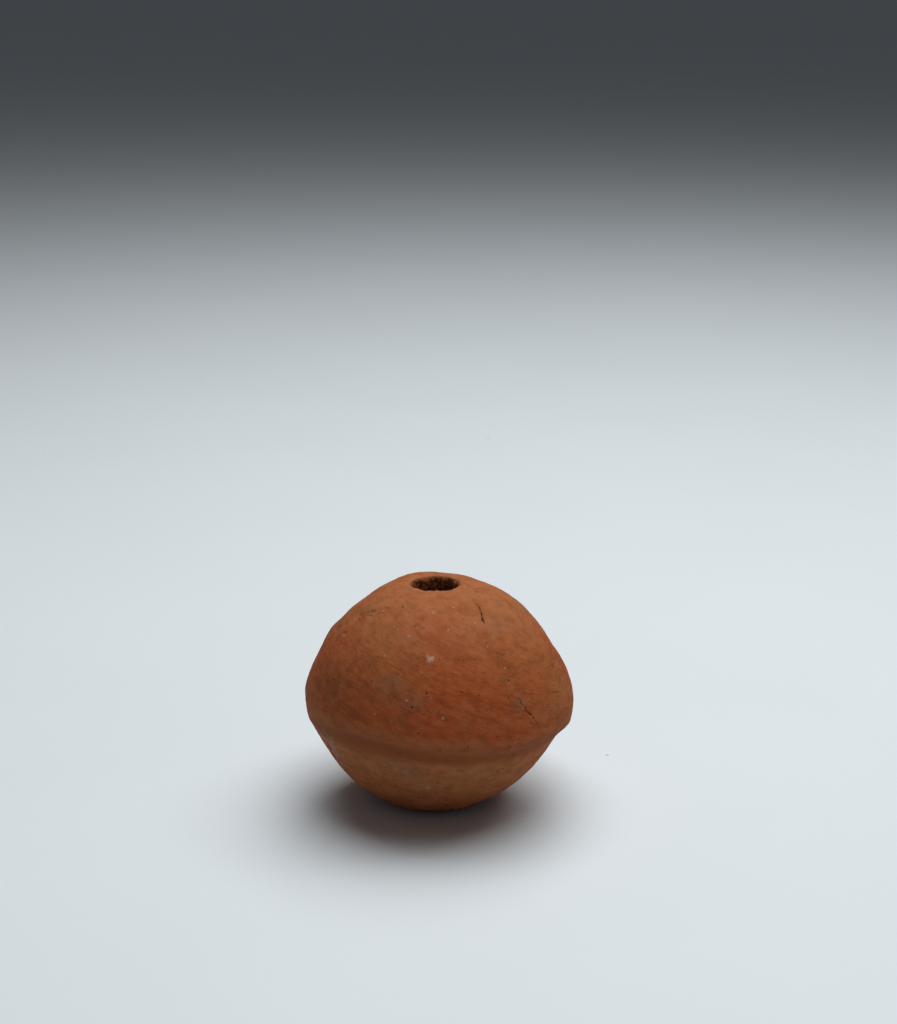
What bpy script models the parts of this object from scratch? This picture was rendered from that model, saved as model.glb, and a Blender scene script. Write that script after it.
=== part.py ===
"""Clay spindle whorl, one hand-formed and fired piece with a hole for the spindle through its middle.

Metres, +Z up. It stands on the small flat ring round the hole's lower end. The origin is at the middle of
the underside. Bearings are degrees round the body from +X towards +Y. The face seen first looks towards -Y.
"""
import math

import bmesh
import bpy
import numpy as np

# Driving sizes
HEIGHT = 0.0341
KEEL_DIAMETER = 0.0396
KEEL_HEIGHT = 0.0165
KEEL_DROP = 0.00355
KEEL_OVERHANG = 0.0024
HOLE_DIAMETER = 0.0063
HOLE_OFFSET = 0.00045
HOLE_OFFSET_BEARING = 122
LIP_WIDTH = 0.0005
LIP_DEPTH = 0.0006
FOOT_WIDTH = 0.0015
FOOT_CHAMFER = 0.00035

# Curve pulls, as shares of the rise or run of the curve that they bend
CROWN_TOP_PULL = 0.475
CROWN_SIDE_PULL = 0.41
KEEL_NOSE_PULL = 0.46
KEEL_CREASE_PULL = 0.21
BOWL_SIDE_PULL = 0.47
BOWL_FOOT_PULL = 0.56
CREASE_LEAN = 27
BOWL_FOOT_RISE = 16

# Unevenness of the hand: lobes round the body, size as a share of the width, bearing of a high point
KEEL_HEIGHT_WAVES = ((1, 0.0210, 234), (2, 0.0163, 55), (3, 0.0110, 97))
KEEL_RADIUS_WAVES = ((1, 0.0085, 14), (2, 0.0007, 143), (3, 0.0034, 96))
KEEL_DROP_WAVES = ((1, 0.0169, 170), (2, 0.0271, 164), (3, 0.0192, 30))
OVERHANG_WAVES = ((1, 0.0116, 322), (2, 0.0206, 81))
HOLE_WAVES = ((2, 0.0040, 8), (3, 0.0015, 70))

# The same for curve pulls, whose sizes are added to the pull
KEEL_NOSE_WAVES = ((2, 0.27, 0),)
CROWN_PULL_WAVES = ((1, 0.030, 0), (2, 0.007, 98))
BOWL_PULL_WAVES = ((1, 0.093, 115), (2, 0.066, 12))

# Broad swells and hollows: bearing, share of the height, then rise and spread as shares of the width
SWELLS = (
    (8, 0.71, -0.0090, 0.055),
    (18, 0.865, 0.0025, 0.050),
    (45, 0.955, -0.0060, 0.055),
    (116, 0.975, 0.0060, 0.060),
    (158, 0.91, -0.0058, 0.045),
    (172, 0.775, 0.0060, 0.045),
    (177, 0.68, -0.0050, 0.035),
    (182, 0.545, 0.0055, 0.040),
    (202, 0.14, 0.0045, 0.035),
    (347, 0.42, 0.0043, 0.035),
    (70, 0.78, 0.0055, 0.085),
    (100, 0.62, -0.0055, 0.075),
    (135, 0.30, 0.0050, 0.075),
    (40, 0.28, -0.0045, 0.065),
)

# Facets round the body and along each stretch of the outline
FACETS_ROUND = 96
CROWN_FACETS = 20
KEEL_FACETS = 8
BOWL_FACETS = 12
HOLE_FACETS = 4
LIP_FACETS = 3


def waves(terms, bearing):
    """Sum of cosine waves round the body, as a share."""
    return sum(size * math.cos(lobes * math.radians(bearing - crest)) for lobes, size, crest in terms)


def unevenness(terms, bearing):
    """The same sum as a length, in proportion to the whorl's width."""
    return KEEL_DIAMETER * waves(terms, bearing)


def direction(degrees):
    """Unit step outwards and upwards in the plane of the outline."""
    return np.array([math.cos(math.radians(degrees)), math.sin(math.radians(degrees))])


def arc(start, start_pull, end_pull, end, facets):
    """Points on a cubic curve in the plane of the outline, both ends included."""
    t = np.linspace(0, 1, facets + 1)[:, None]
    bend_a, bend_b = start + start_pull, end + end_pull
    return (1 - t) ** 3 * start + 3 * (1 - t) ** 2 * t * bend_a + 3 * (1 - t) * t ** 2 * bend_b + t ** 3 * end


def hole_radius(bearing):
    """Distance from the body's axis to the wall of the hole."""
    to_centre = math.radians(bearing - HOLE_OFFSET_BEARING)
    return HOLE_DIAMETER / 2 + HOLE_OFFSET * math.cos(to_centre) + unevenness(HOLE_WAVES, bearing)


def lip_crest(bearing):
    """Highest point of the rounded edge round the top of the hole, as (radius, height)."""
    return np.array([hole_radius(bearing) + LIP_WIDTH, HEIGHT])


def outside(bearing):
    """Outline of the outer face at one bearing, from the crest of the lip down to the rim of the foot."""
    keel_height = KEEL_HEIGHT + unevenness(KEEL_HEIGHT_WAVES, bearing)
    keel_radius = KEEL_DIAMETER / 2 + unevenness(KEEL_RADIUS_WAVES, bearing)
    drop = KEEL_DROP + unevenness(KEEL_DROP_WAVES, bearing)
    overhang = KEEL_OVERHANG + unevenness(OVERHANG_WAVES, bearing)
    crest = np.array([keel_radius, keel_height])
    crease = np.array([keel_radius - overhang, keel_height - drop])
    foot = np.array([hole_radius(bearing) + FOOT_CHAMFER + FOOT_WIDTH, 0.0])
    lip = lip_crest(bearing)

    outwards, upwards = direction(0), direction(90)
    crown_pull = waves(CROWN_PULL_WAVES, bearing)
    top_pull = (CROWN_TOP_PULL + crown_pull) * (crest[0] - lip[0])
    side_pull = (CROWN_SIDE_PULL - crown_pull) * (lip[1] - crest[1])
    crown = arc(lip, top_pull * outwards, side_pull * upwards, crest, CROWN_FACETS)

    crease_line = direction(90 - CREASE_LEAN)
    nose = (KEEL_NOSE_PULL + waves(KEEL_NOSE_WAVES, bearing)) * drop
    keel = arc(crest, -nose * upwards, KEEL_CREASE_PULL * drop * crease_line, crease, KEEL_FACETS)

    bowl_pull = waves(BOWL_PULL_WAVES, bearing)
    bowl_side = (BOWL_SIDE_PULL + bowl_pull) * crease[1]
    bowl_foot = (BOWL_FOOT_PULL + bowl_pull) * (crease[0] - foot[0])
    bowl = arc(crease, -bowl_side * crease_line, bowl_foot * direction(BOWL_FOOT_RISE), foot, BOWL_FACETS)
    return np.concatenate([crown, keel[1:], bowl[1:]])


def inside(bearing):
    """Outline from the foot's inner edge up the hole to the lip, both ends of the outer face left out."""
    wall = hole_radius(bearing)
    hole_top = np.array([wall, HEIGHT - LIP_DEPTH])
    foot_edge = np.array([wall + FOOT_CHAMFER, 0.0])
    hole_foot = np.array([wall, FOOT_CHAMFER])
    share = np.linspace(0, 1, HOLE_FACETS + 1)[:, None]
    bore = hole_foot + share * (hole_top - hole_foot)
    half = direction(90) * LIP_DEPTH / 2
    rounding = arc(hole_top, half, -direction(0) * LIP_WIDTH / 2, lip_crest(bearing), LIP_FACETS)
    return np.concatenate([[foot_edge], bore, rounding[1:-1]])


def on_axes(outline, bearing):
    """Outline points as places in space, at one bearing."""
    turn = math.radians(bearing)
    radius, height = outline[:, 0], outline[:, 1]
    return np.stack([radius * math.cos(turn), radius * math.sin(turn), height], axis=1)


def place(bearing, share_of_height):
    """Point on the outer face at a bearing and a share of the height."""
    outline = outside(bearing)[::-1]
    height = share_of_height * HEIGHT
    radius = np.interp(height, outline[:, 1], outline[:, 0])
    return on_axes(np.array([[radius, height]]), bearing)[0]


def swell(points, outline, bearing, centres):
    """Outer points moved along their outward slope by the broad swells and hollows, the foot left flat."""
    along = np.gradient(outline, axis=0)
    length = np.linalg.norm(along, axis=1, keepdims=True)
    outward = np.stack([-along[:, 1], along[:, 0]], axis=1) / length
    rise = np.zeros(len(points))
    for centre, (_, _, size, spread) in zip(centres, SWELLS):
        distance = np.linalg.norm(points - centre, axis=1)
        rise += KEEL_DIAMETER * size * np.exp(-(distance / (KEEL_DIAMETER * spread)) ** 2)
    rise[-1] = 0.0
    return points + on_axes(outward * rise[:, None], bearing)


def meridians():
    """Closed outlines in space, one for each step round the body."""
    centres = [place(at, share) for at, share, _, _ in SWELLS]
    for step in range(FACETS_ROUND):
        bearing = 360 * step / FACETS_ROUND
        outline = outside(bearing)
        outer = swell(on_axes(outline, bearing), outline, bearing, centres)
        yield np.concatenate([outer, on_axes(inside(bearing), bearing)])


def whorl_mesh():
    """Closed grid of the outlines, each joined to the next all the way round."""
    grid = bmesh.new()
    columns = [[grid.verts.new(point) for point in meridian] for meridian in meridians()]
    steps = len(columns[0])
    for index, column in enumerate(columns):
        neighbour = columns[(index + 1) % FACETS_ROUND]
        for step in range(steps):
            after = (step + 1) % steps
            grid.faces.new((column[step], column[after], neighbour[after], neighbour[step]))
    bmesh.ops.recalc_face_normals(grid, faces=grid.faces)
    bmesh.ops.triangulate(grid, faces=grid.faces, quad_method='SHORT_EDGE')
    mesh = bpy.data.meshes.new("whorl")
    grid.to_mesh(mesh)
    grid.free()
    mesh.shade_smooth()
    mesh.set_sharp_from_angle(angle=math.radians(40))
    return mesh


def fired_clay():
    """Matt orange-brown terracotta."""
    material = bpy.data.materials.new("fired_clay")
    material.use_nodes = True
    shader = material.node_tree.nodes["Principled BSDF"]
    shader.inputs["Base Color"].default_value = (0.36, 0.150, 0.075, 1.0)
    shader.inputs["Roughness"].default_value = 0.85
    shader.inputs["Metallic"].default_value = 0.0
    return material


def main():
    for old in list(bpy.data.objects):
        bpy.data.objects.remove(old)
    whorl = bpy.data.objects.new("whorl", whorl_mesh())
    whorl.data.materials.append(fired_clay())
    bpy.context.scene.collection.objects.link(whorl)


main()
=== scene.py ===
"""Clay spindle whorl on a pale table in soft light: hand-smoothed, worn and stained fired clay.

Metres, +Z up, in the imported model's frame. Bearings are degrees round the body from +X towards +Y, so the
face that the camera sees is at 270. Marks are placed by bearing and height, and the small lengths in the
tables of marks are millimetres.
"""
import math
import random

import bmesh
import bpy
import numpy as np
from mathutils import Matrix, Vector, noise


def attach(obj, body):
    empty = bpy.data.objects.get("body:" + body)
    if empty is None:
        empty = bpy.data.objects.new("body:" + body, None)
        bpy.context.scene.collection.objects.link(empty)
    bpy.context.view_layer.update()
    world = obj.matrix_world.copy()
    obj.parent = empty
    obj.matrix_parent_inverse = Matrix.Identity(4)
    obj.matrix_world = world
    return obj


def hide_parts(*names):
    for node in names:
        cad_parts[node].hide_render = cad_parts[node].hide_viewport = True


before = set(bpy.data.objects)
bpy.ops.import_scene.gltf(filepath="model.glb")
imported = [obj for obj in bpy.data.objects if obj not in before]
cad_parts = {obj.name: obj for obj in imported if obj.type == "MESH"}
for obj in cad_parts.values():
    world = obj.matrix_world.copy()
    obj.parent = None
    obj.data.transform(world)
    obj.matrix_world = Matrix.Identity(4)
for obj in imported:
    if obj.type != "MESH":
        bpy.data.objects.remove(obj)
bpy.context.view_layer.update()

MM = 0.001

# Mesh: columns round the body, millimetres between points along the outline and in the hole, rows on the foot
COLUMNS = 312
SKIN_STEP = 0.42
BORE_STEP = 1.2
FOOT_ROWS = 4

# The solid's corners nearer than WELD, in millimetres, are one. Bearings further apart than FACET_GAP, in
# degrees, are two.
WELD = 0.01
FACET_GAP = 0.5

# Finer mesh round the marks: lengths of edges in millimetres, how far round a pit or grain it reaches and how
# long its edges are there, as shares of the radius, how far beside a crack, as a share of its width, and how
# many times too long an edge is when it is split
REFINING_PASSES = 3
FINE_EDGE = 0.17
FINEST_EDGE = 0.095
FINE_REACH = 1.4
FINE_SHARE = 0.55
FINE_CRACK = 0.9
SPLIT_OVER = 1.3

# The skin's unevenness: size of the feature and its rise, both in millimetres
LUMPS = (4.2, 0.085)
STROKES = (0.55, 0.026)
GRAIN = (0.70, 0.022)
BORE_ROUGHNESS = (1.1, 0.22)
LIP_ROUGHNESS = (1.1, 0.13)
KEEL_KNOCKS = (2.4, 0.12)

# Strokes of smoothing: length in millimetres, how many times longer than wide their colour is, and slant down
# across the front in degrees, with its scatter from one drag mark to the next
STROKE_LENGTH = 3.2
STREAK_STRETCH = 4.5
STROKE_SLANT = 24
SLANT_SCATTER = 12

# Lengths in millimetres over which the keel is rounded and the crease is filled
KEEL_SOFTNESS = 0.50
CREASE_SOFTNESS = 1.30

# Rough noise: how fast its finer copies weaken, how many times finer each one is, and their number
ROUGHNESS = (0.9, 2.1, 4)

# Heights in millimetres: the keel's, how far from it the strokes turn and the bowl sets in, the bands over
# which the other places set in, and the height below which a point stands on the table
KEEL_AT = 15.0
STROKES_TURN = 3
BOWL_BLEND = 4
FOOT_BAND = (0.05, 0.9)
BORE_FOOT_BAND = (0, 2)
UNDER_KEEL_SHADE_BAND = (11.8, 13.4)
CROWN_BAND = (25, 31.5)
LIP_BAND = (31, 33)
STANDING_AT = 0.02

# Bends of the outline in radians per millimetre over which the keel, the lip and the crease's painted shade set
# in
KEEL_BEND = (0.10, 0.30)
LIP_BEND = (0.25, 0.7)
CREASE_SHADE_BEND = (0.02, 0.14)

# How squarely a place faces the hole's axis, or down, for the bore, its soil and painted shade, and the painted
# shade under the keel
BORE_FACING = (0.1, 0.8)
BORE_SOIL_SHADE_FACING = (0.15, 0.75)
UNDER_SHADE_FACING = (0.10, 0.50)

# Reach of the marks as shares of their radius: knobs, chips, then pits, grit and the finer mesh of chips.
# The last pair is where the rim of a chip or grain starts and ends.
KNOB_REACH = 2.5
CHIP_REACH = 2
ROUND_REACH = 1.3
PATCH_RIM = (0.55, 1.0)

# Raggedness of edges: its amount, its size in millimetres and a seed
CHIP_EDGE = (0.55, 0.7, 1.9)
PIT_EDGE = (0.40, 0.35, 4.6)
GRIT_EDGE = (0.70, 0.50, 6.1)
CRACK_EDGE = (0.5, 0.6, 2.2)
STAIN_EDGE = (0.55, 2.6, 11.0)

# Floor of a chip: its level and unevenness as shares of the depth, and the size of that in millimetres
CHIP_LEVEL = 0.8
CHIP_UNEVENNESS = 0.6
CHIP_GRAIN = 0.5

# Cracks: how far they wander and over what length in millimetres, with a seed for each axis, the share of
# their width left at the ends and how fast they widen from there, and how steep their sides are
CRACK_WANDER = 0.22
WANDER_SIZE = 0.8
WANDER_SEEDS = (3.7, 6.4, 9.8)
CRACK_END = 0.45
CRACK_TAPER = 4
CRACK_STEEPNESS = 1.6

# Depths in millimetres from which the painted shade in pits and cracks is as dark as it gets
PIT_SHADE_DEPTH = 0.20
CRACK_SHADE_DEPTH = 0.17

# How strongly grit shows pale: the least, for the finest, and the most
LIME_LEAST = 0.25
LIME_MOST = 0.72

# Cracks: width, depth, then points along them as (bearing, height)
CRACKS = (
    (0.21, 0.30, ((321.0, 33.55), (317.4, 33.42), (315.1, 33.05), (314.7, 32.68), (313.1, 32.33),
                  (309.7, 31.81), (307.6, 31.06))),
    (0.17, 0.24, ((308.6, 22.10), (309.0, 21.91), (310.3, 21.10), (311.4, 20.10), (313.9, 19.30),
                  (314.6, 18.60), (316.6, 17.60), (317.4, 17.10))),
    (0.14, 0.12, ((359.0, 33.70), (344.0, 33.72), (336.6, 33.70))),
    (0.13, 0.15, ((200.9, 30.70), (205.5, 30.40), (211.5, 30.54))),
    (0.12, 0.12, ((262.8, 21.9), (265.0, 21.3))),
    (0.15, 0.16, ((208.0, 31.20), (213.0, 31.50))),
    (0.14, 0.14, ((216.0, 31.75), (222.0, 32.15))),
    (0.14, 0.16, ((203.5, 31.20), (206.5, 30.50))),
    (0.12, 0.14, ((200.0, 28.75), (203.5, 28.50), (207.5, 28.75))),
    (0.12, 0.12, ((193.0, 29.35), (196.0, 29.05))),
    (0.12, 0.12, ((191.5, 8.9), (194.5, 10.2), (196.5, 11.6))),
    (0.12, 0.12, ((301.0, 10.15), (304.5, 10.45), (308.5, 10.90))),
    (0.16, 0.22, ((42, 24.6), (47, 23.1), (50, 22.0), (56, 21.1), (58, 19.9))),
    (0.14, 0.16, ((118, 31.2), (124, 30.3), (127, 29.1))),
    (0.15, 0.18, ((78, 9.2), (84, 8.6), (91, 8.9))),
)

# Shallow broken patches: bearing, height, radius, depth
CHIPS = (
    (210.5, 31.60, 0.80, 0.17),
    (214.5, 32.00, 0.55, 0.13),
    (220.5, 32.45, 0.70, 0.15),
    (205.0, 31.30, 0.60, 0.14),
    (200.5, 30.80, 0.45, 0.14),
    (190.5, 28.20, 0.60, 0.18),
    (204.0, 28.60, 0.50, 0.12),
    (197.0, 29.30, 0.40, 0.12),
    (196.0, 10.60, 0.80, 0.22),
    (199.0, 12.40, 0.70, 0.20),
    (193.0, 8.60, 0.70, 0.18),
    (205.0, 13.90, 0.60, 0.14),
    (186.0, 11.20, 0.90, 0.22),
    (178.0, 9.00, 0.80, 0.18),
    (111.0, 33.55, 0.70, 0.35),
    (96.0, 16.4, 1.10, 0.22),
    (24.0, 15.2, 0.90, 0.20),
    (60.0, 27.5, 0.70, 0.15),
    (141.0, 20.4, 0.80, 0.15),
)

# Pits: bearing, height, radius, depth
PITS = (
    (309.0, 13.05, 0.21, 0.40),
    (301.7, 15.74, 0.16, 0.26),
    (306.5, 24.53, 0.20, 0.18),
    (304.7, 10.07, 0.18, 0.16),
    (307.7, 10.42, 0.16, 0.14),
    (270.7, 8.58, 0.20, 0.22),
    (265.4, 24.00, 0.18, 0.18),
    (289.6, 23.41, 0.16, 0.17),
    (303.7, 22.45, 0.14, 0.15),
    (253.7, 31.36, 0.14, 0.14),
    (259.0, 31.21, 0.14, 0.14),
    (283.0, 16.74, 0.16, 0.18),
    (259.3, 22.28, 0.20, 0.18),
    (258.9, 23.20, 0.16, 0.14),
    (250.3, 4.08, 0.21, 0.20),
    (284.3, 30.42, 0.15, 0.12),
    (234.2, 32.96, 0.18, 0.14),
    (295.6, 17.71, 0.15, 0.16),
    (262.5, 19.00, 0.25, 0.16),
    (271.6, 16.57, 0.14, 0.14),
    (214.4, 22.82, 0.16, 0.14),
)

# Pale grit held in the clay: bearing, height, radius, rise
GRIT = (
    (266.4, 28.00, 0.66, 0.06),
    (272.7, 20.87, 0.25, 0.08),
    (262.4, 19.12, 0.22, 0.06),
    (256.7, 23.03, 0.20, 0.05),
    (240.6, 27.93, 0.17, 0.05),
    (251.5, 30.30, 0.20, 0.06),
    (266.8, 32.70, 0.26, 0.05),
    (301.5, 28.75, 0.20, 0.06),
    (287.8, 33.08, 0.20, 0.05),
    (263.4, 7.45, 0.26, 0.07),
    (264.6, 7.60, 0.22, 0.06),
    (178.5, 26.10, 0.38, 0.12),
    (262.4, 26.47, 0.18, 0.04),
    (267.6, 23.50, 0.17, 0.04),
    (279.9, 26.39, 0.18, 0.05),
    (278.3, 31.00, 0.16, 0.04),
    (35.0, 22.50, 0.40, 0.07),
    (88.0, 27.20, 0.30, 0.06),
    (150.0, 12.40, 0.34, 0.06),
    (8.0, 19.00, 0.24, 0.05),
)

# Raised lumps left along the keel: bearing, height, radius, rise
KNOBS = (
    (236.0, 18.30, 0.65, 0.36),
    (239.6, 18.05, 0.55, 0.26),
    (232.4, 18.10, 0.60, 0.24),
    (222.0, 17.20, 0.80, 0.22),
    (246.0, 17.10, 1.10, 0.10),
    (262.0, 17.20, 0.80, 0.08),
    (308.0, 16.60, 1.20, 0.08),
    (60.0, 15.40, 1.20, 0.14),
    (128.0, 16.20, 1.00, 0.12),
)

# Stains: tint, bearing, height, spread round the body, spread up it, strength
STAINS = (
    ("red", 258, 20.9, 4.2, 2.0, 1.00),
    ("red", 274, 19.0, 3.6, 2.0, 0.85),
    ("red", 268, 22.5, 7.0, 4.0, 0.60),
    ("red", 301, 17.2, 5.5, 1.5, 0.85),
    ("red", 283, 24.0, 6.5, 4.5, 0.55),
    ("red", 272, 29.5, 4.5, 4.5, 0.60),
    ("red", 208, 28.0, 1.8, 1.5, 0.60),
    ("red", 236, 17.3, 2.6, 0.9, 0.90),
    ("red", 50, 24.0, 7.0, 4.5, 0.70),
    ("red", 120, 17.5, 6.0, 3.5, 0.60),
    ("ochre", 329, 25.5, 4.5, 4.0, 0.65),
    ("ochre", 337, 20.5, 3.5, 3.0, 0.70),
    ("ochre", 345, 31.0, 5.5, 3.0, 0.65),
    ("ochre", 205, 32.8, 4.0, 2.0, 0.70),
    ("ochre", 222, 29.5, 5.0, 2.5, 0.35),
    ("ochre", 260, 9.0, 12.0, 3.6, 0.80),
    ("ochre", 300, 8.0, 6.0, 4.0, 0.75),
    ("ochre", 215, 9.5, 5.0, 4.0, 0.75),
    ("ochre", 210, 19.0, 2.4, 2.0, 0.50),
    ("ochre", 90, 25.0, 7.0, 6.0, 0.60),
    ("ochre", 40, 9.0, 9.0, 5.0, 0.60),
    ("brown", 216, 23.0, 4.5, 4.0, 0.75),
    ("brown", 236, 22.3, 3.8, 2.4, 0.60),
    ("brown", 228, 17.0, 4.0, 1.2, 0.70),
    ("brown", 150, 26.0, 6.0, 5.0, 0.50),
    ("grey", 248, 24.9, 2.2, 1.5, 0.62),
    ("grey", 259, 22.8, 2.0, 1.1, 0.60),
    ("grey", 254, 20.4, 1.6, 0.7, 0.35),
    ("grey", 257, 10.9, 2.6, 1.4, 0.60),
    ("grey", 245, 11.9, 2.2, 1.2, 0.40),
    ("grey", 317, 30.9, 1.1, 0.8, 0.70),
    ("grey", 338, 32.2, 0.6, 0.4, 0.70),
    ("grey", 309, 21.6, 1.0, 0.9, 0.70),
    ("grey", 305, 24.5, 0.9, 0.8, 0.35),
    ("grey", 205, 31.8, 1.8, 0.8, 0.30),
    ("pale", 203, 13.2, 1.3, 1.3, 0.85),
    ("pale", 200, 11.2, 1.7, 1.7, 0.90),
    ("pale", 198, 9.0, 1.4, 1.3, 0.70),
    ("ochre", 285, 10.5, 10.0, 2.0, 0.50),
    ("pale", 100, 12.0, 1.6, 1.2, 0.45),
    ("grey", 20, 12.0, 4.0, 2.0, 0.50),
    ("grey", 75, 20.5, 2.5, 2.0, 0.50),
    ("grey", 165, 29.0, 2.5, 2.0, 0.40),
)
TINTS = ("red", "ochre", "brown", "grey", "pale")

# Small marks strewn over the whole skin: how many, their sizes in millimetres, and depths or rises as shares
# of the radius, or for drag marks in millimetres
SEED = 7
STREWN_HEIGHTS = (1.0, 33.2)
SMALL_PITS = 150
PIT_RADII = (0.09, 0.20)
PIT_DEPTH = 0.50
SMALL_GRIT = 42
GRIT_RADII = (0.08, 0.16)
GRIT_RISE = 0.22
DRAG_MARKS = 170
DRAG_LENGTHS = (0.3, 1.5)
DRAG_WIDTHS = (0.10, 0.17)
DRAG_DEPTHS = (0.03, 0.08)

# Colours, linear
CLAY = (0.365, 0.097, 0.028)
RED = (0.395, 0.068, 0.017)
OCHRE = (0.340, 0.120, 0.034)
# Brown is also used as painted shade under the keel, in the crease and in dips of the relief
BROWN = (0.200, 0.056, 0.016)
GREY = (0.190, 0.118, 0.066)
PALE = (0.370, 0.275, 0.235)
DUST = (0.430, 0.192, 0.088)
LIME = (0.500, 0.390, 0.310)
# Dark soil colour, also used as painted shade in pits, cracks and the hole
SOIL_AND_SHADE = (0.045, 0.022, 0.011)
TABLE = (0.75, 0.83, 0.89)

# Camera and light
SENSOR = 36.0
LENS = 66.8
CAMERA_AT = (0.00168, -0.262137, 0.123936)
CAMERA_PITCH = 16.7407
LIGHTS_AIM = (0.0, 0.0, 0.012)
WINDOW_AT = (0.08, 0.08, 0.50)
WINDOW_SIZE = 0.54
WINDOW_POWER = 3.2
WINDOW_COLOUR = (1.0, 0.98, 0.95)
FILL_AT = (0.25, -0.60, 0.45)
FILL_SIZE = 0.6
FILL_POWER = 0.08
FILL_COLOUR = (0.93, 0.97, 1.0)
ROOM_COLOUR = (0.92, 0.93, 0.98)
ROOM_STRENGTH = 0.07
TABLE_RADIUS = 6.0


def cubic(start, end, start_slope, end_slope, t):
    """Smooth step from start to end that leaves and arrives with the given slopes."""
    return ((1 + 2 * t) * (1 - t) ** 2 * start + t * (1 - t) ** 2 * start_slope
            + t ** 2 * (3 - 2 * t) * end + t ** 2 * (t - 1) * end_slope)


def fade(low, high, value):
    """0 below low, 1 above high, smooth between."""
    t = np.clip((value - low) / (high - low), 0, 1)
    return t * t * (3 - 2 * t)


def travelled(outline):
    """Distance along an outline to each of its points."""
    return np.concatenate([[0], np.cumsum(np.linalg.norm(np.diff(outline, axis=0), axis=1))])


def line(start, end, count):
    """Points evenly spaced from start towards end, the end left out."""
    return start + np.arange(count)[:, None] / count * (end - start)


def along(outline, places):
    """Points at the given distances along a smooth curve through an outline's points."""
    length = travelled(outline)
    slope = np.gradient(outline, length, axis=0)
    first = np.clip(np.searchsorted(length, places, side="right") - 1, 0, len(outline) - 2)
    span = length[first + 1] - length[first]
    t = ((places - length[first]) / span)[:, None]
    return cubic(outline[first], outline[first + 1], span[:, None] * slope[first],
                 span[:, None] * slope[first + 1], t)


def evenly(outline, lip_rows, face_rows):
    """An outline's points spaced evenly as far as its highest one, and evenly again from there to its end.
    The second stretch, the outer face, is softened."""
    length = travelled(outline)
    highest = length[outline[:, 1].argmax()]
    lip = along(outline, np.linspace(0, highest, lip_rows, endpoint=False))
    face = along(outline, np.linspace(highest, length[-1], face_rows))
    return np.concatenate([lip, softened(face)])


def packed_outlines(node):
    """The solid's corners as one outline in (radius, height) for each facet round the body. Each runs from
    the top of the hole over the lip, crown, keel and bowl to the foot, and ends inside the hole's foot."""
    solid = bmesh.new()
    solid.from_mesh(node.data)
    bmesh.ops.remove_doubles(solid, verts=solid.verts, dist=WELD * MM)
    corners = np.array([corner.co for corner in solid.verts])
    solid.free()
    turn = np.arctan2(corners[:, 1], corners[:, 0])
    facets = 1 + int((np.diff(np.sort(turn)) > math.radians(FACET_GAP)).sum())
    if math.pi - turn.max() < math.radians(FACET_GAP) and turn.min() + math.pi < math.radians(FACET_GAP):
        facets -= 1
    facet = np.round(turn / (2 * math.pi / facets)).astype(int) % facets
    section = np.stack([np.hypot(corners[:, 0], corners[:, 1]), corners[:, 2]], axis=1)
    middle = (section.min(axis=0) + section.max(axis=0)) / 2
    outlines = []
    for step in range(facets):
        outline = section[facet == step]
        around = np.arctan2(outline[:, 1] - middle[1], outline[:, 0] - middle[0])
        outlines.append(outline[np.argsort(-around)])
    return outlines


def smoothed(face, spread):
    """An outline evened out over a length in millimetres, both ends left as they are."""
    reach = math.ceil(3 * spread / SKIN_STEP)
    weights = np.exp(-0.5 * (np.arange(-reach, reach + 1) * SKIN_STEP / spread) ** 2)
    padded = np.concatenate([np.repeat(face[:1], reach, axis=0), face, np.repeat(face[-1:], reach, axis=0)])
    smooth = np.stack([np.convolve(part, weights / weights.sum(), mode="valid") for part in padded.T], axis=1)
    from_end = np.minimum(np.arange(len(face)), np.arange(len(face))[::-1])
    return face + fade(reach, 2 * reach, from_end)[:, None] * (smooth - face)


def softened(face):
    """An outline with its keel a little rounded and its crease filled more, as fingers leave wet clay."""
    soft, full = smoothed(face, KEEL_SOFTNESS), smoothed(face, CREASE_SOFTNESS)
    step = np.gradient(soft, axis=0)
    outward = np.stack([-step[:, 1], step[:, 0]], axis=1) / np.linalg.norm(step, axis=1, keepdims=True)
    fill = np.maximum(0, ((full - soft) * outward).sum(axis=1, keepdims=True))
    return soft + fill * outward


def fine_outlines(coarse):
    """Closely spaced outlines, and how many of their points are on the outside. After those come the foot's
    flat ring, its chamfer and the wall of the hole."""
    sample = coarse[0][:-2]
    length = travelled(sample)
    highest = length[sample[:, 1].argmax()]
    lip_rows = math.ceil(highest / (SKIN_STEP * MM))
    face_rows = 1 + math.ceil((length[-1] - highest) / (SKIN_STEP * MM))
    bore_rows = math.ceil((sample[0, 1] - coarse[0][-1][1]) / (BORE_STEP * MM))
    fine = []
    for outline in coarse:
        rim, foot_edge, hole_foot = outline[-3:]
        fine.append(np.concatenate([
            evenly(outline[:-2], lip_rows, face_rows),
            line(rim, foot_edge, FOOT_ROWS)[1:],
            line(foot_edge, hole_foot, 1),
            line(hole_foot, outline[0], bore_rows),
        ]))
    return np.array(fine), lip_rows + face_rows


def round_body(outlines):
    """The outlines drawn out to the full number of columns, smooth round the body."""
    ahead = np.roll(outlines, -1, axis=0)
    slope = (ahead - np.roll(outlines, 1, axis=0)) / 2
    place = np.arange(COLUMNS) * len(outlines) / COLUMNS
    first = place.astype(int)
    return cubic(outlines[first], ahead[first], slope[first], np.roll(slope, -1, axis=0)[first],
                 (place - first)[:, None, None])


def bend_of(outlines):
    """How sharply each outline bends, in radians per millimetre: positive on edges, negative in creases."""
    step = (np.roll(outlines, -1, axis=1) - np.roll(outlines, 1, axis=1)) / 2
    heading = np.unwrap(np.arctan2(step[..., 1], step[..., 0]), axis=1)
    turned = -(np.roll(heading, -1, axis=1) - np.roll(heading, 1, axis=1)) / 2
    bend = turned / (np.linalg.norm(step, axis=2) / MM)
    bend[:, 0], bend[:, -1] = bend[:, 1], bend[:, -2]
    return bend


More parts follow.
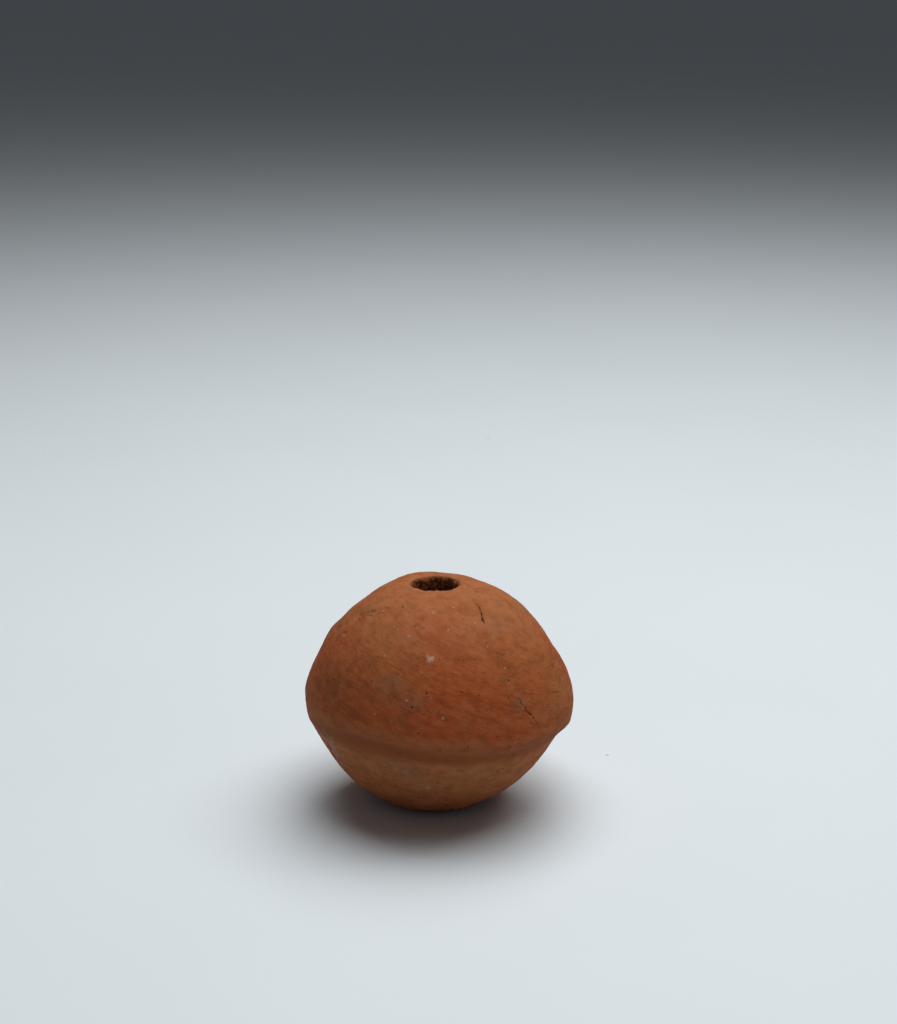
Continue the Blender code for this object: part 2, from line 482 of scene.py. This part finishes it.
class Form:
    """The whorl's smooth form as a closed grid, columns round the body by rows along the outline."""

    def __init__(self, node):
        fine, self.skin_rows = fine_outlines(packed_outlines(node))
        self.outlines = round_body(fine)
        self.bend = bend_of(self.outlines)

    def place(self, bearing, height):
        """Point on the outside at a bearing in degrees and a height in millimetres."""
        skin = self.outlines[round(bearing / 360 * COLUMNS) % COLUMNS, :self.skin_rows]
        outer = skin[skin[:, 1].argmax():][::-1]
        radius = np.interp(height * MM, np.maximum.accumulate(outer[:, 1]), outer[:, 0])
        turn = math.radians(bearing)
        return np.array([radius * math.cos(turn), radius * math.sin(turn), height * MM])

    def start_mesh(self):
        """The grid as a mesh of triangles that also carries how sharply the outline bends."""
        columns, rows = self.outlines.shape[:2]
        turn = 2 * math.pi * np.arange(columns)[:, None] / columns
        radius, height = self.outlines[..., 0], self.outlines[..., 1]
        points = np.stack([radius * np.cos(turn), radius * np.sin(turn), height], axis=2).reshape(-1, 3)
        column, row = np.meshgrid(np.arange(columns), np.arange(rows), indexing="ij")
        east, down = (column + 1) % columns, (row + 1) % rows
        faces = np.stack([column * rows + row, column * rows + down, east * rows + down, east * rows + row],
                         axis=2)
        mesh = bpy.data.meshes.new("whorl_body")
        mesh.from_pydata(points.tolist(), [], faces.reshape(-1, 4).tolist())
        body = bmesh.new()
        body.from_mesh(mesh)
        bpy.data.meshes.remove(mesh)
        bend = body.verts.layers.float.new("bend")
        for vertex, value in zip(body.verts, self.bend.ravel()):
            vertex[bend] = value
        bmesh.ops.triangulate(body, faces=body.faces)
        return body


class Marks:
    """Cracks, chips, pits, grit and lumps with their places on the skin, both listed and strewn."""

    def __init__(self, form):
        chance = random.Random(SEED)
        self.cracks = [(width, depth, np.array([form.place(*point) for point in points]))
                       for width, depth, points in CRACKS]
        for _ in range(DRAG_MARKS):
            self.cracks.append(self.drag_mark(form, chance))
        self.chips = self.placed(form, CHIPS)
        self.pits = self.placed(form, PITS + tuple(self.strewn(chance, SMALL_PITS, PIT_RADII, PIT_DEPTH)))
        self.grit = self.placed(form, GRIT + tuple(self.strewn(chance, SMALL_GRIT, GRIT_RADII, GRIT_RISE)))
        self.knobs = self.placed(form, KNOBS)

    @staticmethod
    def placed(form, rows):
        return [(form.place(bearing, height), radius * MM, size) for bearing, height, radius, size in rows]

    @staticmethod
    def strewn(chance, count, radii, share):
        """Small round marks at random places, deeper where they are wider."""
        for _ in range(count):
            radius = radii[0] * (radii[1] / radii[0]) ** chance.random() ** 2
            yield chance.uniform(0, 360), chance.uniform(*STREWN_HEIGHTS), radius, radius * share

    @staticmethod
    def drag_mark(form, chance):
        """A short groove where a grain was dragged along by the smoothing tool."""
        bearing, height = chance.uniform(0, 360), chance.uniform(*STREWN_HEIGHTS)
        slant = math.radians(chance.gauss(-STROKE_SLANT if height > KEEL_AT else 0, SLANT_SCATTER))
        length = chance.uniform(*DRAG_LENGTHS)
        start = form.place(bearing, height)
        run = math.degrees(length * MM * math.cos(slant) / math.hypot(start[0], start[1]))
        end = form.place(bearing + run, height + length * math.sin(slant))
        return chance.uniform(*DRAG_WIDTHS), chance.uniform(*DRAG_DEPTHS), np.array([start, end])


def near_path(points, path):
    """Distance to a path, and how far along it the nearest place is, as a share of its length."""
    best, share = np.full(len(points), np.inf), np.zeros(len(points))
    length = travelled(path)
    for start, end, passed in zip(path, path[1:], length):
        run = end - start
        reach = np.linalg.norm(run)
        t = np.clip((points - start) @ run / reach ** 2, 0, 1)
        distance = np.linalg.norm(points - start - t[:, None] * run, axis=1)
        closer = distance < best
        best[closer] = distance[closer]
        share[closer] = ((passed + t * reach) / length[-1])[closer]
    return best, share


def within(points, centre, reach):
    """Indices of the points in reach of a centre, and their distances from it."""
    distance = np.linalg.norm(points - centre, axis=1)
    index = np.flatnonzero(distance < reach)
    return index, distance[index]


def round_path(points, path):
    """Indices of the points in a ball about a path's middle that holds it with a millimetre to spare."""
    middle = path.mean(axis=0)
    return within(points, middle, np.linalg.norm(path - middle, axis=1).max() + MM)[0]


def edge_limits(points, marks):
    """Longest edge wanted at each point, in metres."""
    limit = np.full(len(points), np.inf)
    for centre, radius, _ in marks.pits + marks.grit:
        index, _ = within(points, centre, FINE_REACH * radius + FINE_EDGE * MM)
        limit[index] = np.minimum(limit[index], max(FINEST_EDGE * MM, FINE_SHARE * radius))
    for centre, radius, _ in marks.chips:
        index, _ = within(points, centre, ROUND_REACH * radius)
        limit[index] = np.minimum(limit[index], FINE_EDGE * MM)
    for width, _, path in marks.cracks:
        index = round_path(points, path)
        if len(index):
            distance, _ = near_path(points[index], path)
            close = index[distance < FINE_CRACK * width * MM + FINE_EDGE * MM / 2]
            limit[close] = np.minimum(limit[close], FINEST_EDGE * MM)
    return limit


def refine(body, marks):
    """Splits the edges that are longer than the marks beside them allow."""
    for _ in range(REFINING_PASSES):
        body.verts.index_update()
        points = np.array([vertex.co for vertex in body.verts])
        limit = edge_limits(points, marks)
        edges = list(body.edges)
        ends = np.array([(edge.verts[0].index, edge.verts[1].index) for edge in edges])
        length = np.linalg.norm(points[ends[:, 0]] - points[ends[:, 1]], axis=1)
        long = np.flatnonzero(length > SPLIT_OVER * limit[ends].min(axis=1))
        bmesh.ops.subdivide_edges(body, edges=[edges[i] for i in long], cuts=1, use_grid_fill=True)
        bmesh.ops.triangulate(body, faces=[face for face in body.faces if len(face.verts) > 3])


def field(points, size, seed=0.0):
    """Smooth noise from about -1 to 1, its features about size millimetres across, its own for each seed."""
    return np.array([noise.noise(place) for place in (points / (size * MM) + seed).tolist()])


def rough(points, size, seed=0.0):
    """Noise whose finer features are rougher copies of the coarse ones."""
    return np.array([noise.fractal(place, *ROUGHNESS) for place in (points / (size * MM) + seed).tolist()])


def ragged(points, edge):
    """Factors about 1 that make an even edge ragged. Edge is an amount, a size in millimetres and a seed."""
    amount, size, seed = edge
    return 1 + amount * field(points, size, seed)


def strokes(points):
    """Long thin noise along the direction in which the wet clay was smoothed: slanting on the crown, level on
    the bowl."""
    height = points[:, 2] / MM
    slant = math.radians(STROKE_SLANT) * fade(KEEL_AT - STROKES_TURN, KEEL_AT + STROKES_TURN, height)
    x, y, z = points.T
    level = x * np.cos(slant) - z * np.sin(slant)
    across = z * np.cos(slant) + x * np.sin(slant)
    size, _ = STROKES
    drawn = np.stack([level * size / STROKE_LENGTH, y * size / STROKE_LENGTH, across], axis=1)
    return field(drawn, size, seed=5.5) + 0.5 * field(drawn, size / 2, seed=9.5)


def relief(points, normals, bend, marks):
    """Rise of every point along its normal in millimetres, with the masks that the clay's colours use."""
    height = points[:, 2] / MM
    radial = points[:, :2] / np.hypot(points[:, 0], points[:, 1])[:, None]
    facing_in = -(normals[:, :2] * radial).sum(axis=1)
    bore = fade(*BORE_FACING, facing_in)
    stands = 1 - fade(*FOOT_BAND, height)
    skin = (1 - bore) * (1 - stands)
    keel = fade(*KEEL_BEND, bend) * skin
    lip = fade(*LIP_BEND, bend) * fade(*LIP_BAND, height)

    rise = skin * (LUMPS[1] * rough(points, LUMPS[0]) + STROKES[1] * strokes(points)
                   + GRAIN[1] * rough(points, GRAIN[0], seed=3.3))
    rise += (bore * BORE_ROUGHNESS[1] * rough(points, BORE_ROUGHNESS[0], seed=7.1)
             * fade(*BORE_FOOT_BAND, height))
    rise += lip * LIP_ROUGHNESS[1] * rough(points, LIP_ROUGHNESS[0], seed=2.7)
    rise += keel * (1 - lip) * KEEL_KNOCKS[1] * rough(points, KEEL_KNOCKS[0], seed=4.9)

    masks = {name: np.zeros(len(points)) for name in ("hollow", "broken", "lime")}
    for centre, radius, size in marks.knobs:
        index, distance = within(points, centre, KNOB_REACH * radius)
        rise[index] += size * np.exp(-(distance / radius) ** 2)
    for centre, radius, depth in marks.chips:
        index, distance = within(points, centre, CHIP_REACH * radius)
        if len(index):
            inside = 1 - fade(*PATCH_RIM, distance / radius * ragged(points[index], CHIP_EDGE))
            floor = CHIP_LEVEL + CHIP_UNEVENNESS * field(points[index], CHIP_GRAIN, seed=8.3)
            rise[index] -= inside * depth * floor
            masks["broken"][index] = np.maximum(masks["broken"][index], inside)
    for centre, radius, depth in marks.pits:
        index, distance = within(points, centre, ROUND_REACH * radius)
        share = distance / radius * ragged(points[index], PIT_EDGE)
        inside = np.maximum(0, 1 - share ** 2) ** 2
        rise[index] -= depth * inside
        # Painted shade in the pit, deeper pits darker
        painted_shade = inside ** 0.5 * min(1, depth / PIT_SHADE_DEPTH)
        masks["hollow"][index] = np.maximum(masks["hollow"][index], painted_shade)
    for centre, radius, size in marks.grit:
        index, distance = within(points, centre, ROUND_REACH * radius)
        if len(index):
            inside = 1 - fade(*PATCH_RIM, distance / radius * ragged(points[index], GRIT_EDGE))
            rise[index] += size * inside
            paleness = min(LIME_MOST, LIME_LEAST + radius / MM)
            masks["lime"][index] = np.maximum(masks["lime"][index], inside * paleness)
    for width, depth, path in marks.cracks:
        index = round_path(points, path)
        if len(index):
            wander = np.stack([field(points[index], WANDER_SIZE, seed) for seed in WANDER_SEEDS], axis=1)
            distance, share = near_path(points[index] + CRACK_WANDER * MM * wander, path)
            taper = np.minimum(1, CRACK_END + CRACK_TAPER * np.minimum(share, 1 - share))
            half = width * MM / 2 * taper * ragged(points[index], CRACK_EDGE)
            inside = np.minimum(1, CRACK_STEEPNESS * np.clip(1 - distance / half, 0, 1))
            rise[index] -= depth * inside * taper
            # Painted shade in the crack, deeper cracks darker
            painted_shade = inside * min(1, depth / CRACK_SHADE_DEPTH)
            masks["hollow"][index] = np.maximum(masks["hollow"][index], painted_shade)
    # Soil crumbs and painted shade inside the hole
    masks["bore"] = fade(*BORE_SOIL_SHADE_FACING, facing_in)
    # Edge wear on the keel, lightened in colour partly as a painted highlight
    masks["worn"] = keel
    masks["bowl"] = 1 - fade(KEEL_AT - BOWL_BLEND, KEEL_AT, height)
    # Painted shade: faces that look down under the keel, darkened in the clay's colour
    masks["under"] = fade(*UNDER_SHADE_FACING, -normals[:, 2]) * fade(*UNDER_KEEL_SHADE_BAND, height) * (1 - bore)
    # Painted shade in the crease between keel and bowl
    masks["crease"] = fade(*CREASE_SHADE_BEND, -bend) * skin
    masks["crown"] = fade(*CROWN_BAND, height) * (1 - bore)
    # The rise, also used to paint shade into the dips of the relief
    masks["fine"] = rise
    return rise * np.where(height <= STANDING_AT, 0, 1), masks


def stain_masks(points, form):
    """How strongly each tint shows at every point."""
    unevenness, size, seed = STAIN_EDGE
    edges = 1 + unevenness * rough(points, size, seed)
    masks = {tint: np.zeros(len(points)) for tint in TINTS}
    for tint, bearing, height, round_spread, up_spread, strength in STAINS:
        centre = form.place(bearing, height)
        turn = math.radians(bearing)
        apart = points - centre
        round_body = apart @ np.array([-math.sin(turn), math.cos(turn), 0])
        up_body = np.sqrt(np.maximum((apart ** 2).sum(axis=1) - round_body ** 2, 0))
        spreads_away = (round_body / (round_spread * MM)) ** 2 + (up_body / (up_spread * MM)) ** 2
        amount = np.exp(-edges * spreads_away)
        masks[tint] = 1 - (1 - masks[tint]) * (1 - strength * amount)
    return masks


def whorl_body(node):
    """The whorl's visible mesh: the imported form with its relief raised, and masks for its colours."""
    form = Form(node)
    marks = Marks(form)
    body = form.start_mesh()
    refine(body, marks)
    bmesh.ops.recalc_face_normals(body, faces=body.faces)
    mesh = bpy.data.meshes.new("whorl_body")
    body.to_mesh(mesh)
    body.free()
    count = len(mesh.vertices)
    points, normals, bend = np.empty(3 * count), np.empty(3 * count), np.empty(count)
    mesh.vertices.foreach_get("co", points)
    mesh.vertices.foreach_get("normal", normals)
    mesh.attributes["bend"].data.foreach_get("value", bend)
    points, normals = points.reshape(-1, 3), normals.reshape(-1, 3)
    rise, masks = relief(points, normals, bend, marks)
    masks.update(stain_masks(points, form))
    raised = points + normals * rise[:, None] * MM
    raised[:, 2] = np.maximum(raised[:, 2], 0)
    mesh.vertices.foreach_set("co", raised.ravel())
    for name, values in masks.items():
        mesh.attributes.new(name, "FLOAT", "POINT").data.foreach_set("value", values)
    mesh.shade_smooth()
    mesh.update()
    piece = bpy.data.objects.new("whorl_body", mesh)
    bpy.context.scene.collection.objects.link(piece)
    return piece


class Shading:
    """A material's nodes, added a step at a time."""

    def __init__(self, name):
        self.material = bpy.data.materials.new(name)
        self.material.use_nodes = True
        self.tree = self.material.node_tree
        self.shader = self.tree.nodes["Principled BSDF"]
        self.where = self.tree.nodes.new("ShaderNodeTexCoord").outputs["Object"]

    def set(self, socket, value):
        if isinstance(value, bpy.types.NodeSocket):
            self.tree.links.new(value, socket)
        elif isinstance(value, tuple) and len(value) == 3 and len(socket.default_value) == 4:
            socket.default_value = (*value, 1.0)
        else:
            socket.default_value = value

    def mask(self, name):
        node = self.tree.nodes.new("ShaderNodeAttribute")
        node.attribute_name = name
        return node.outputs["Fac"]

    def noise(self, size, detail=3.0, where=None):
        """Noise with features about size millimetres across."""
        node = self.tree.nodes.new("ShaderNodeTexNoise")
        self.set(node.inputs["Vector"], where or self.where)
        node.inputs["Scale"].default_value = 1 / (size * MM)
        node.inputs["Detail"].default_value = detail
        return node.outputs["Fac"]

    def shaken(self, size, reach):
        """Coordinates pushed about by noise, so that what is drawn with them turns out ragged."""
        push = self.tree.nodes.new("ShaderNodeTexNoise")
        self.set(push.inputs["Vector"], self.where)
        push.inputs["Scale"].default_value = 1 / (size * MM)
        push.inputs["Detail"].default_value = 1.0
        node = self.tree.nodes.new("ShaderNodeVectorMath")
        node.operation = "MULTIPLY_ADD"
        self.set(node.inputs[0], push.outputs["Color"])
        self.set(node.inputs[1], (reach * MM,) * 3)
        self.set(node.inputs[2], self.where)
        return node.outputs["Vector"]

    def cells(self, size, where=None):
        """Distance from the middles of scattered cells, and a chance value that is one and the same in each."""
        node = self.tree.nodes.new("ShaderNodeTexVoronoi")
        self.set(node.inputs["Vector"], where or self.where)
        node.inputs["Scale"].default_value = 1 / (size * MM)
        part = self.tree.nodes.new("ShaderNodeSeparateColor")
        self.set(part.inputs["Color"], node.outputs["Color"])
        return node.outputs["Distance"], part.outputs["Red"]

    def turned(self, slant, stretch):
        """Coordinates drawn out along a line that slants down across the front."""
        turn = self.tree.nodes.new("ShaderNodeMapping")
        self.set(turn.inputs["Vector"], self.where)
        turn.inputs["Rotation"].default_value = (0, math.radians(-slant), 0)
        drawn = self.tree.nodes.new("ShaderNodeMapping")
        self.set(drawn.inputs["Vector"], turn.outputs["Vector"])
        drawn.inputs["Scale"].default_value = (1 / stretch, 1 / stretch, 1)
        return drawn.outputs["Vector"]

    def ramp(self, value, low, high, start=0.0, end=1.0):
        node = self.tree.nodes.new("ShaderNodeMapRange")
        node.interpolation_type = "SMOOTHSTEP"
        for name, amount in (("Value", value), ("From Min", low), ("From Max", high), ("To Min", start),
                             ("To Max", end)):
            self.set(node.inputs[name], amount)
        return node.outputs["Result"]

    def sum(self, operation, first, second):
        node = self.tree.nodes.new("ShaderNodeMath")
        node.operation = operation
        self.set(node.inputs[0], first)
        self.set(node.inputs[1], second)
        return node.outputs["Value"]

    def mix(self, amount, base, colour, blend="MIX"):
        node = self.tree.nodes.new("ShaderNodeMix")
        node.data_type = "RGBA"
        node.blend_type = blend
        self.set(node.inputs["Factor"], amount)
        self.set(node.inputs[6], base)
        self.set(node.inputs[7], colour)
        return node.outputs[2]

    def choose(self, amount, first, second):
        """A value that goes from first to second as amount goes from 0 to 1."""
        return self.sum("ADD", self.sum("MULTIPLY", first, self.sum("SUBTRACT", 1.0, amount)),
                        self.sum("MULTIPLY", second, amount))

    def bump(self, height, distance, under=None):
        node = self.tree.nodes.new("ShaderNodeBump")
        node.inputs["Distance"].default_value = distance * MM
        self.set(node.inputs["Height"], height)
        if under:
            self.set(node.inputs["Normal"], under)
        return node.outputs["Normal"]


def clay():
    """Fired clay: clouds of red and ochre, smoothing streaks, pores, grit and dust; painted shade in pits,
    cracks, dips, the crease and under the keel, soil and painted shade in the hole, and wear with a painted
    highlight on the keel.
    """
    s = Shading("whorl_clay")
    clouds = s.noise(8, 4)
    mottle = s.noise(1.6, 5)
    speckle = s.noise(0.45, 3)
    slanting, level = s.turned(STROKE_SLANT, STREAK_STRETCH), s.turned(0, STREAK_STRETCH)
    streaks = s.choose(s.mask("bowl"), s.noise(0.75, 4, slanting), s.noise(0.75, 4, level))
    dashes = s.choose(s.mask("bowl"), s.noise(0.30, 2, slanting), s.noise(0.30, 2, level))
    breakup = s.ramp(mottle, 0.3, 0.7, 0.55, 1.15)

    colour = s.mix(s.ramp(clouds, 0.42, 0.66, 0, 0.50), CLAY, RED)
    colour = s.mix(s.ramp(s.noise(6.1, 4), 0.50, 0.70, 0, 0.50), colour, OCHRE)
    for name, tint in (("ochre", OCHRE), ("brown", BROWN), ("red", RED), ("grey", GREY)):
        colour = s.mix(s.sum("MULTIPLY", s.mask(name), breakup), colour, tint)
    colour = s.mix(s.sum("MULTIPLY", s.mask("pale"), s.ramp(speckle, 0.38, 0.60, 0.25, 1.0)), colour, PALE)
    colour = s.mix(s.ramp(mottle, 0.46, 0.68, 0, 0.38), colour, BROWN)
    colour = s.mix(s.ramp(streaks, 0.48, 0.70, 0, 0.46), colour, BROWN)
    colour = s.mix(s.ramp(streaks, 0.50, 0.30, 0, 0.14), colour, DUST)
    colour = s.mix(s.ramp(dashes, 0.55, 0.72, 0, 0.60), colour, BROWN)
    colour = s.mix(s.ramp(dashes, 0.42, 0.26, 0, 0.26), colour, DUST)
    colour = s.mix(s.ramp(speckle, 0.60, 0.76, 0, 0.30), colour, DUST)
    colour = s.mix(s.ramp(speckle, 0.42, 0.26, 0, 0.45), colour, BROWN)
    # Wear on the keel's edge, and a painted highlight there, in pale dust colour
    colour = s.mix(s.sum("MULTIPLY", s.mask("worn"), s.ramp(mottle, 0.40, 0.60, 0.05, 0.25)), colour, DUST)
    colour = s.mix(s.sum("MULTIPLY", s.mask("broken"), s.ramp(speckle, 0.35, 0.60, 0.20, 0.75)), colour, DUST)
    colour = s.mix(s.sum("MULTIPLY", s.mask("crown"), s.ramp(mottle, 0.30, 0.62, 0.38, 0.20)), colour, DUST)
    colour = s.mix(s.sum("MULTIPLY", s.mask("bowl"), s.ramp(mottle, 0.30, 0.62, 0.32, 0.12)), colour, DUST)
    # Painted shade: dips of the relief darkened with brown
    colour = s.mix(s.ramp(s.mask("fine"), -0.02, -0.10, 0, 0.40), colour, BROWN)

    pores, pore_chance = s.cells(0.80, s.shaken(0.35, 0.30))
    open_pore = s.sum("MULTIPLY", s.ramp(pores, 0.20, 0.08), s.ramp(pore_chance, 0.60, 0.90))
    colour = s.mix(s.sum("MULTIPLY", open_pore, 0.50), colour, SOIL_AND_SHADE)
    grains, grain_chance = s.cells(1.40, s.shaken(0.30, 0.30))
    grain = s.sum("MULTIPLY", s.ramp(grains, 0.11, 0.06), s.ramp(grain_chance, 0.75, 0.95))
    colour = s.mix(s.sum("MULTIPLY", grain, 0.50), colour, LIME)

    # Painted shade under the keel: faces that look down are darkened with brown
    colour = s.mix(s.sum("MULTIPLY", s.mask("under"), s.ramp(mottle, 0.30, 0.70, 0.85, 0.45)), colour, BROWN)
    # Painted shade: the crease darkened with brown
    colour = s.mix(s.sum("MULTIPLY", s.mask("crease"), s.ramp(mottle, 0.30, 0.60, 0.40, 0.80)), colour, BROWN)
    # Painted shade: pits and cracks darkened by their depth
    colour = s.mix(s.sum("MULTIPLY", s.mask("hollow"), 0.85), colour, SOIL_AND_SHADE)
    colour = s.mix(s.sum("MULTIPLY", s.mask("lime"), s.ramp(speckle, 0.30, 0.60, 0.50, 0.95)), colour, LIME)
    # Soil crumbs and painted shade inside the hole, near black in places
    bore_soil_and_shade = s.ramp(s.noise(0.55, 2), 0.36, 0.62, 0.95, 0.25)
    colour = s.mix(s.sum("MULTIPLY", s.mask("bore"), bore_soil_and_shade), colour, SOIL_AND_SHADE)
    s.set(s.shader.inputs["Base Color"], colour)

    s.set(s.shader.inputs["Roughness"], s.ramp(mottle, 0.30, 0.70, 0.76, 0.93))
    s.shader.inputs["Specular IOR Level"].default_value = 0.14

    grit = s.bump(s.noise(0.28, 3), 0.045)
    dashed = s.bump(dashes, 0.050, grit)
    streaked = s.bump(streaks, 0.030, dashed)
    pitted = s.bump(s.sum("SUBTRACT", 1.0, open_pore), 0.050, streaked)
    s.set(s.shader.inputs["Normal"], s.bump(grain, 0.030, pitted))
    return s.material


def table_paint():
    """Smooth matt white with the faintest mottling and a few specks of dust."""
    s = Shading("table_paint")
    colour = s.mix(s.ramp(s.noise(55, 3), 0.3, 0.7, 0, 0.5), TABLE, tuple(0.97 * part for part in TABLE))
    specks, chance = s.cells(14)
    speck = s.sum("MULTIPLY", s.ramp(specks, 0.035, 0.020), s.ramp(chance, 0.80, 0.84))
    colour = s.mix(s.sum("MULTIPLY", speck, 0.35), colour, GREY)
    s.set(s.shader.inputs["Base Color"], colour)
    s.shader.inputs["Roughness"].default_value = 0.62
    s.set(s.shader.inputs["Normal"], s.bump(s.noise(0.9, 3), 0.012))
    return s.material


def table():
    """A plain pale floor out of sight in every direction."""
    disc = bmesh.new()
    bmesh.ops.create_circle(disc, cap_ends=True, segments=96, radius=TABLE_RADIUS)
    mesh = bpy.data.meshes.new("table")
    disc.to_mesh(mesh)
    disc.free()
    mesh.materials.append(table_paint())
    floor = bpy.data.objects.new("table", mesh)
    bpy.context.scene.collection.objects.link(floor)


def camera():
    """The photograph's view: a long lens looking a little down."""
    data = bpy.data.cameras.new("camera")
    data.sensor_width = SENSOR
    data.lens = LENS
    data.clip_start = 0.01
    data.clip_end = 20
    view = bpy.data.objects.new("camera", data)
    view.location = CAMERA_AT
    view.rotation_euler = (math.radians(90 - CAMERA_PITCH), 0, 0)
    bpy.context.scene.collection.objects.link(view)
    bpy.context.scene.camera = view


def light(name, place, size, power, colour):
    """A soft square light that looks at the whorl."""
    data = bpy.data.lights.new(name, "AREA")
    data.size = size
    data.energy = power
    data.color = colour
    lamp = bpy.data.objects.new(name, data)
    lamp.location = place
    lamp.rotation_euler = (Vector(LIGHTS_AIM) - Vector(place)).to_track_quat("-Z", "Y").to_euler()
    bpy.context.scene.collection.objects.link(lamp)


def daylight():
    """One big soft light above and behind, a faint one in front, and a cool grey room."""
    light("window", WINDOW_AT, WINDOW_SIZE, WINDOW_POWER, WINDOW_COLOUR)
    light("front_fill", FILL_AT, FILL_SIZE, FILL_POWER, FILL_COLOUR)
    world = bpy.data.worlds.new("room")
    world.use_nodes = True
    room = world.node_tree.nodes["Background"]
    room.inputs["Color"].default_value = (*ROOM_COLOUR, 1.0)
    room.inputs["Strength"].default_value = ROOM_STRENGTH
    bpy.context.scene.world = world
    bpy.context.scene.view_settings.view_transform = "Standard"


def main():
    camera()
    daylight()
    table()
    piece = whorl_body(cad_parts["whorl"])
    piece.data.materials.append(clay())
    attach(piece, "root")
    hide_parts("whorl")


main()
